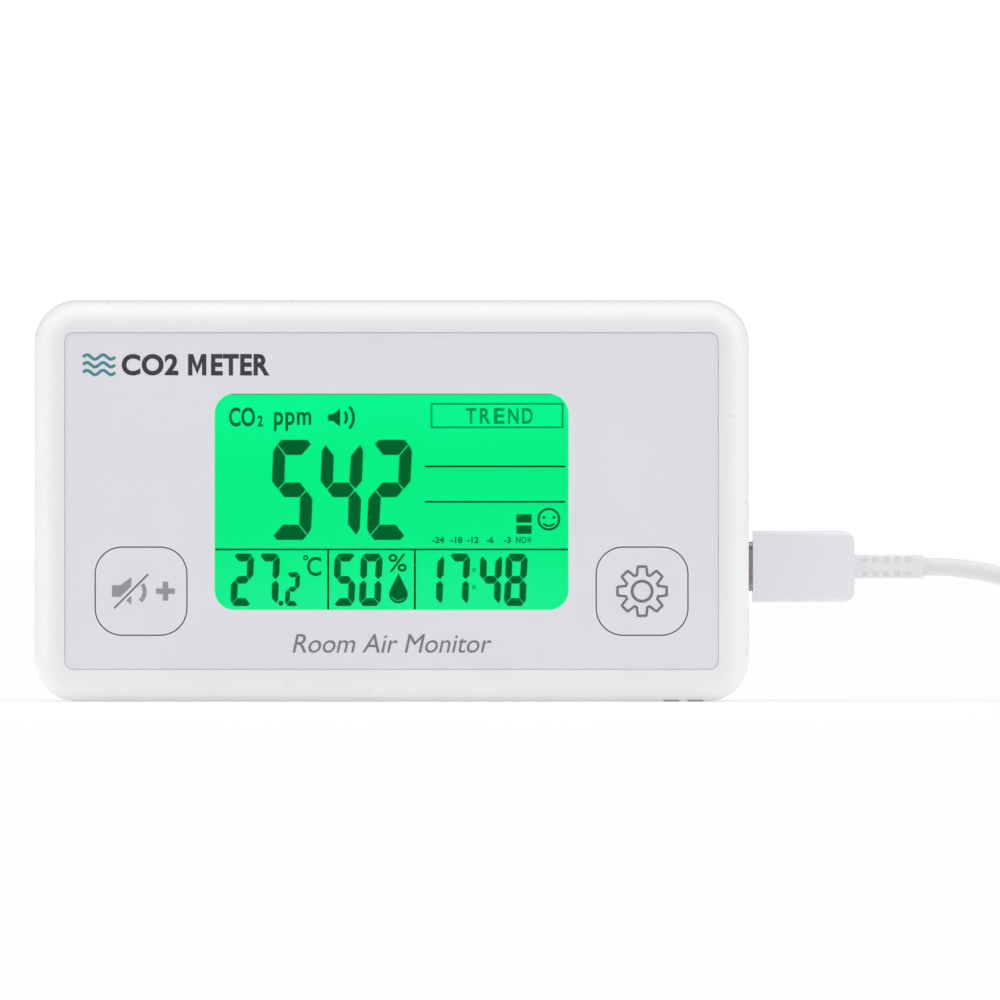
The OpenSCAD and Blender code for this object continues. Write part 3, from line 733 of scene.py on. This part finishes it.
def hank_line():
    """Runs and folds from the end of the lead to the start of the tail."""
    left, right = HANK_X
    last = len(HANK_TURNS) - 1
    line = []

    def run(start, end, y, z, first=0):
        line.extend(Vector((start + (end - start) * i / RUN_STEPS, y, z))
                    for i in range(first, RUN_STEPS))

    for k, (r, z) in enumerate(HANK_TURNS):
        run(LEAD_ROUTE[-1][0] if k == 0 else left, TAIL_ROUTE[0][0] if k == last else right,
            -r, z, first=1 if k == 0 else 0)
        if k == last:
            break
        for i in range(FOLD_STEPS):
            a = math.radians(-90 + 180 * i / FOLD_STEPS)
            line.append(Vector((right + r * math.cos(a), r * math.sin(a), z)))
        run(right, left, r, z)
        next_r, next_z = HANK_TURNS[k + 1]
        for i in range(FOLD_STEPS):
            t = i / FOLD_STEPS
            part = smoothstep((t - CHANGE_START[k]) / CHANGE_SPAN)
            radius = r + (next_r - r) * part
            a = math.radians(90 + 180 * t)
            line.append(Vector((left + radius * math.cos(a), radius * math.sin(a),
                                z + (next_z - z) * part)))
    return line


def make_cable(jacket, strap):
    """The cord in one piece, drawn in place of the CAD cable, with its tie."""
    line = smooth_route(LEAD_ROUTE) + hank_line() + smooth_route(TAIL_ROUTE)
    curve = bpy.data.curves.new("usb_cord", "CURVE")
    curve.dimensions = "3D"
    curve.bevel_depth = CORD_D / 2 * MM
    curve.bevel_resolution = 4
    curve.use_fill_caps = True
    spline = curve.splines.new("POLY")
    spline.points.add(len(line) - 1)
    for point, place in zip(spline.points, line):
        point.co = (*(place * MM), 1)
    spline.use_smooth = True
    cord = add_piece("usb_cord", curve, jacket, "usb_cable")
    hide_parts("cable_lead", "cable_hank", "cable_tail")
    tie = make_tie(strap)


def ribbon(bm, outer, inner, x0, x1, closed):
    """Ribbon from x0 to x1 between two lines, its long edges slightly blunted."""
    edge = 0.12 * MM
    rows = []
    for o, i in zip(outer, inner):
        t = (i - o).normalized() * edge
        rows.append([bm.verts.new((x, *place.yz)) for x, place in (
            (x0 + edge, o), (x1 - edge, o), (x1, o + t), (x1, i - t),
            (x1 - edge, i), (x0 + edge, i), (x0, i - t), (x0, o + t))])
    count = len(rows)
    for k in range(count if closed else count - 1):
        a, b = rows[k], rows[(k + 1) % count]
        for j in range(8):
            bm.faces.new((a[j], a[(j + 1) % 8], b[(j + 1) % 8], b[j]))
    if not closed:
        bm.faces.new(rows[0])
        bm.faces.new(rows[-1][::-1])


def make_tie(strap):
    """Hook-and-loop strap round the hank, its end lapped over the top."""
    low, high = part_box("hank_tie")
    thick, lap, overlap = 0.45 * MM, 0.32 * MM, 0.05 * MM
    corner_r = 2.3 * MM
    top = high.z - lap

    def loop(inset):
        return [Vector((0, u, v)) for u, v in rounded_box(
            low.y + inset, low.z + inset, high.y - inset, top - inset, corner_r - inset, 9)]

    bm = bmesh.new()
    ribbon(bm, loop(0), loop(thick), low.x, high.x, True)
    lap_outer = [Vector((0, y * MM, top + lap)) for y in (-9, -3, 3, 9)]
    lap_inner = [Vector((0, p.y, top - overlap)) for p in lap_outer]
    ribbon(bm, lap_outer, lap_inner, low.x, high.x, False)
    bmesh.ops.recalc_face_normals(bm, faces=bm.faces)
    mesh = bpy.data.meshes.new("tie_strap")
    bm.to_mesh(mesh)
    bm.free()
    for polygon in mesh.polygons:
        polygon.use_smooth = True
    piece = add_piece("tie_strap", mesh, strap, "usb_cable")
    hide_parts("hank_tie")
    return piece


# ------------------------------------------------------------------ CAD nodes

def dress(material, *nodes):
    """Gives CAD nodes a material."""
    for node in nodes:
        data = NODES[node].data
        for k in range(len(data.materials)):
            data.materials[k] = material


def soften(width, segments, *nodes):
    """Rounds the sharp edges of CAD nodes, width in millimetres."""
    for node in nodes:
        weld = NODES[node].modifiers.new("join", "WELD")
        weld.merge_threshold = 1e-6
        bevel = NODES[node].modifiers.new("soft_edge", "BEVEL")
        bevel.width = width * MM
        bevel.segments = segments
        bevel.limit_method = "ANGLE"
        bevel.angle_limit = math.radians(40)
        bevel.use_clamp_overlap = True
        bevel.harden_normals = True


def dress_nodes():
    white = srgb(245, 245, 247)
    grey = srgb(235, 235, 240)
    shiny = {"Specular_IOR_Level": 0.85}
    dress(moulded("white_case", white, 0.32, **shiny), "front_housing")
    dress(moulded("white_cover", white, 0.42, **shiny), "rear_cover")
    dress(moulded("grey_panel", grey, 0.4, 3e-6), "front_panel")
    dress(moulded("grey_key", grey, 0.4, 3e-6), "mute_key", "settings_key")
    dress(clear_window("clear_window"), "display_window")
    dress(moulded("white_plug", srgb(242, 242, 247), 0.38, 4e-6), "plug_body", "usb_a_body")
    dress(moulded("white_relief", srgb(243, 242, 244), 0.45, 4e-6),
          "strain_relief", "usb_a_relief")

    steel = srgb(196, 194, 192)
    nickel = srgb(206, 200, 196)
    along_x = (0.08, 1, 1)
    dress(brushed("screw_steel", steel, 0.32), "case_screws", "board_screws")
    # The plug's shell gets a darker copy of the nickel: painted shade of the narrow gap between
    # plug and case, where its metal is seen
    dress(brushed("plug_nickel_painted_shade", srgb(184, 173, 165), 0.3, along_x), "plug_shell")
    dress(brushed("far_plug_nickel", nickel, 0.25, along_x), "usb_a_shell")
    dress(brushed("socket_nickel", nickel, 0.3, along_x), "usb_socket_shell")
    dress(brushed("can_steel", steel, 0.28, (1, 1, 0.1)),
          "clock_crystal", "capacitors", "switch_bodies")
    dress(brushed("cell_steel", srgb(205, 204, 200), 0.25, (1, 0.1, 1)),
          "backup_cell", "cell_contact")
    dress(brushed("lamp_can", srgb(200, 198, 194), 0.3), "infrared_lamp", "infrared_detector")

    dress(circuit_board("main_board", srgb(20, 92, 52)), "main_board")
    dress(circuit_board("sensor_board", srgb(22, 60, 110)), "sensor_board")
    dress(moulded("chip_black", srgb(38, 38, 41), 0.55, 8e-6, 2600, 0.06), "microcontroller",
          "voltage_regulator", "power_inductor", "humidity_sensor")
    dress(moulded("moulding_black", srgb(32, 32, 34), 0.5, 6e-6, 3200, 0.05), "buzzer",
          "cell_holder", "sensor_header", "usb_socket_tongue", "plug_insert",
          "mute_switch_plunger", "settings_switch_plunger")
    dress(moulded("insulator_white", srgb(236, 236, 234), 0.45),
          "usb_a_insulator", "sensor_standoffs")
    dress(gold_foil("chamber_gold", srgb(222, 190, 110)), "sensor_chamber")
    dress(membrane("filter_paper", srgb(240, 240, 236)), "dust_filter")
    dress(moulded("frame_plastic", srgb(232, 232, 226), 0.5), "lcd_frame")
    dress(soft_rubber("contact_rubber", srgb(70, 70, 74)), "contact_strip")
    dress(optical("led_lens", srgb(240, 226, 150), 0.2, 0.3), "backlight_leds")
    dress(optical("display_glass", srgb(60, 235, 160), 0.06, 0.6), "lcd_cell")
    dress(optical("polarizer", srgb(90, 110, 100), 0.25), "rear_polarizer")
    dress(optical("diffuser", srgb(238, 240, 238), 0.7), "diffuser_film")
    dress(optical("guide", srgb(215, 245, 228), 0.1, 0.8), "light_guide")
    dress(optical("reflector", srgb(246, 247, 247), 0.35), "reflector_film")

    lit = [(0.0, srgb(30, 243, 152)), (0.3, srgb(8, 242, 138)), (0.7, srgb(3, 242, 134)),
           (1.0, srgb(6, 250, 147))]
    dress(glow("lit_display", lit, film_low.z, film_high.z), "front_polarizer")


def soften_nodes():
    soften(0.35, 3, "plug_body")
    soften(0.2, 2, "strain_relief", "usb_a_body")
    soften(0.12, 2, "usb_a_shell")


# ------------------------------------------------------------------ stage and light

def make_stage():
    """Plain pale floor, lifted towards white by a little glow of its own."""
    mesh = bpy.data.meshes.new("floor")
    reach = 9.0
    bm = bmesh.new()
    bm.faces.new([bm.verts.new((x * reach, y * reach, 0))
                  for x, y in ((-1, -1), (1, -1), (1, 1), (-1, 1))])
    bm.to_mesh(mesh)
    bm.free()
    floor = bpy.data.objects.new("floor", mesh)
    bpy.context.scene.collection.objects.link(floor)
    f = Finish("pale_floor", Specular_IOR_Level=0.1)
    f.mottle(srgb(215, 215, 215), 0.004, 3)
    f.rough(f.spread(f.noise(20, 2), 0.85, 0.95))
    f.bsdf.inputs["Emission Color"].default_value = (1, 1, 1, 1)
    f.bsdf.inputs["Emission Strength"].default_value = 0.34
    mesh.materials.append(f.material)


# Light of the tent from ahead of the display (0) to behind the case (1)
TENT_LEVELS = ((0.0, 0.06), (0.065, 0.06), (0.115, 0.25), (0.2, 0.55), (0.3, 0.81), (0.4, 1.0),
               (0.5, 0.95), (0.6, 0.58), (0.8, 0.2), (1.0, 0.1))


def make_world():
    """White tent: bright at the sides and above, dimmer ahead and behind.

    The camera sees plain white instead."""
    world = bpy.data.worlds.new("studio")
    bpy.context.scene.world = world
    world.use_nodes = True
    nodes, links = world.node_tree.nodes, world.node_tree.links
    where = nodes.new("ShaderNodeTexCoord")
    parts = nodes.new("ShaderNodeSeparateXYZ")
    links.new(where.outputs["Generated"], parts.inputs["Vector"])
    spread = nodes.new("ShaderNodeMapRange")
    spread.inputs["From Min"].default_value = -1.0
    spread.inputs["From Max"].default_value = 1.0
    links.new(parts.outputs["Y"], spread.inputs["Value"])
    ramp = nodes.new("ShaderNodeValToRGB")
    links.new(spread.outputs["Result"], ramp.inputs["Fac"])
    set_stops(ramp, [(at, (level, level, level * 1.01, 1)) for at, level in TENT_LEVELS])
    light = nodes.new("ShaderNodeBackground")
    light.inputs["Strength"].default_value = 1.74
    links.new(ramp.outputs["Color"], light.inputs["Color"])
    plain = nodes["Background"]
    plain.inputs["Color"].default_value = (1, 1, 1, 1)
    plain.inputs["Strength"].default_value = 1.05
    seen = nodes.new("ShaderNodeLightPath")
    mix = nodes.new("ShaderNodeMixShader")
    links.new(seen.outputs["Is Camera Ray"], mix.inputs["Fac"])
    links.new(light.outputs["Background"], mix.inputs[1])
    links.new(plain.outputs["Background"], mix.inputs[2])
    links.new(mix.outputs["Shader"], nodes["World Output"].inputs["Surface"])


def make_light(name, place, aim, size, energy):
    """Softbox at a place, turned to the aim and left out of the camera's sight."""
    data = bpy.data.lights.new(name, "AREA")
    data.shape = "RECTANGLE"
    data.size, data.size_y = size
    data.energy = energy
    light = bpy.data.objects.new(name, data)
    light.location = place
    light.rotation_euler = (Vector(aim) - Vector(place)).to_track_quat("-Z", "Y").to_euler()
    light.visible_camera = False
    bpy.context.scene.collection.objects.link(light)


def make_lights():
    """Two weak softboxes that give the tent's light a direction."""
    centre = (0.02, 0, 0.04)
    make_light("top_softbox", (0.0, -0.15, 0.9), centre, (0.9, 0.6), 0.1)
    make_light("left_softbox", (-0.8, -0.35, 0.35), centre, (0.5, 0.7), 0.05)


# ------------------------------------------------------------------ build

def display_ink(name, foot, head):
    """Unlit part of the display, its colour going from foot to head."""
    return glow(name, [(0, srgb(*foot)), (1, srgb(*head))], film_low.z, film_high.z)


make_camera()
make_cable(cable_jacket("white_jacket", srgb(238, 236, 234)),
           woven_strap("dark_tape", srgb(70, 70, 76)))
dress_nodes()
soften_nodes()
display_graphics(display_ink("dark_segments", (0, 100, 45), (2, 96, 44)),
                 display_ink("pale_segments", (0, 160, 80), (0, 150, 76)),
                 display_ink("faint_segments", (0, 196, 104), (0, 190, 100)),
                 display_ink("dark_rules", (0, 42, 16), (0, 40, 16)))
print_key_signs(printed_ink("key_grey", srgb(156, 155, 160)),
                printed_ink("key_line_grey", srgb(122, 121, 127)))
print_panel_signs(printed_ink("heading_slate", srgb(52, 55, 62)),
                  printed_ink("caption_grey", srgb(128, 127, 132)),
                  printed_ink("accent_teal", srgb(70, 140, 150)))
make_stage()
make_world()
make_lights()
bpy.context.scene.view_settings.view_transform = "Standard"
